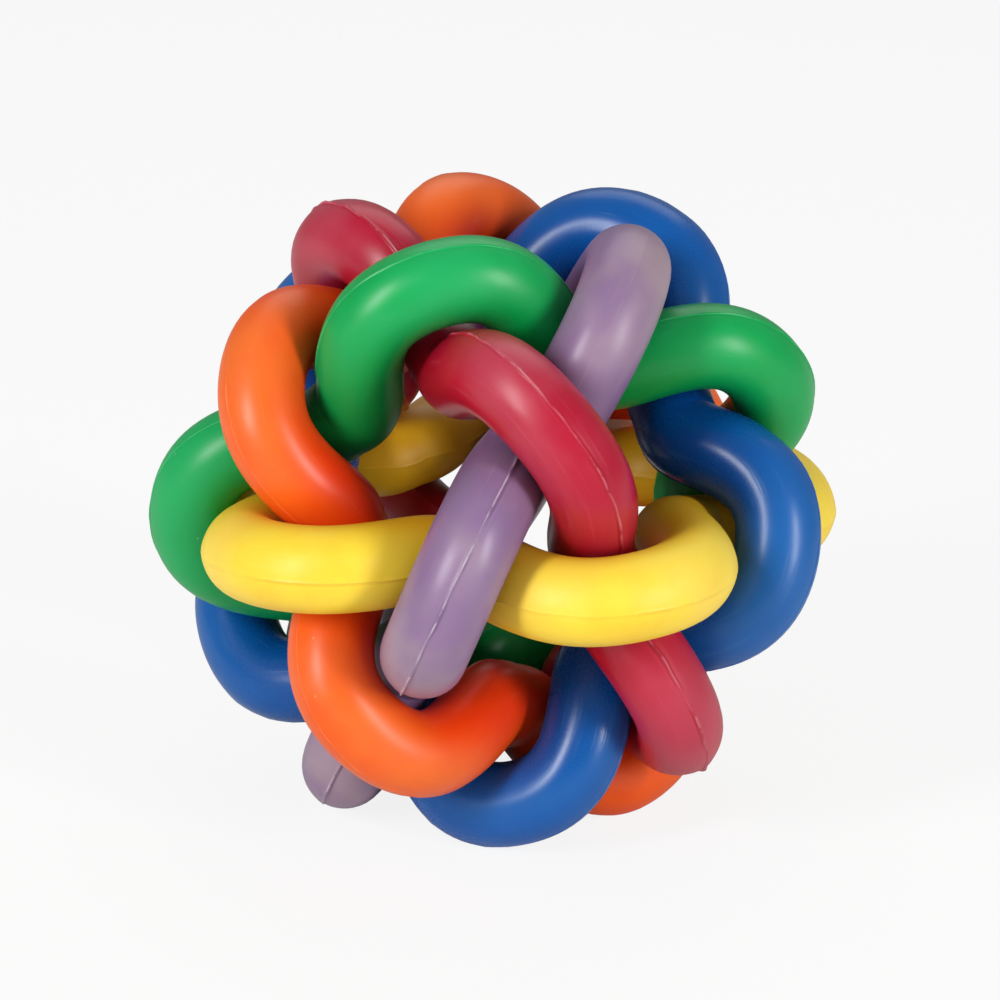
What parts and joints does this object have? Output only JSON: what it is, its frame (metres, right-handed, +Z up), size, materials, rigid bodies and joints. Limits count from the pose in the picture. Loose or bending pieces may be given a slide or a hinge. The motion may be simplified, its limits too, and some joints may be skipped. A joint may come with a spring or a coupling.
{
  "type": "woven rubber ring ball",
  "caption": "Hollow ball woven from interlocked wavy rubber rings, which turn a little against each other; a chew, fetch or fidget toy.",
  "frame": {"origin": "on the plane that the ball stands on, under the middle of the ball", "axes": "+Z up along the axis of the level yellow ring; +X towards one of that ring's five crests"},
  "size_m": [0.1, 0.0972, 0.088],
  "materials": {
    "yellow_rubber": "yellow moulded rubber, satin",
    "purple_rubber": "purple moulded rubber, satin",
    "blue_rubber": "blue moulded rubber, satin",
    "orange_rubber": "orange moulded rubber, satin",
    "red_rubber": "red moulded rubber, satin",
    "green_rubber": "green moulded rubber, satin"
  },
  "bodies": {
    "yellow_ring": {"yellow_ring": "yellow_rubber"},
    "purple_ring": {"purple_ring": "purple_rubber"},
    "blue_ring": {"blue_ring": "blue_rubber"},
    "orange_ring": {"orange_ring": "orange_rubber"},
    "red_ring": {"red_ring": "red_rubber"},
    "green_ring": {"green_ring": "green_rubber"}
  },
  "joints": [
    {"name": "red_ring_turn", "type": "hinge", "parent": "yellow_ring", "child": "red_ring", "pos_m": [0, 0, 0.0438], "axis": [0.8507, 0.2764, 0.4472], "range_deg": [-1, 1]},
    {"name": "green_ring_turn", "type": "hinge", "parent": "yellow_ring", "child": "green_ring", "pos_m": [0, 0, 0.0438], "axis": [0, 0.8944, 0.4472], "range_deg": [-1, 1]},
    {"name": "purple_ring_turn", "type": "hinge", "parent": "yellow_ring", "child": "purple_ring", "pos_m": [0, 0, 0.0438], "axis": [-0.8507, 0.2764, 0.4472], "range_deg": [-1, 1]},
    {"name": "blue_ring_turn", "type": "hinge", "parent": "yellow_ring", "child": "blue_ring", "pos_m": [0, 0, 0.0438], "axis": [-0.5257, -0.7236, 0.4472], "range_deg": [-1, 1]},
    {"name": "orange_ring_turn", "type": "hinge", "parent": "yellow_ring", "child": "orange_ring", "pos_m": [0, 0, 0.0438], "axis": [0.5257, -0.7236, 0.4472], "range_deg": [-1, 1]}
  ]
}
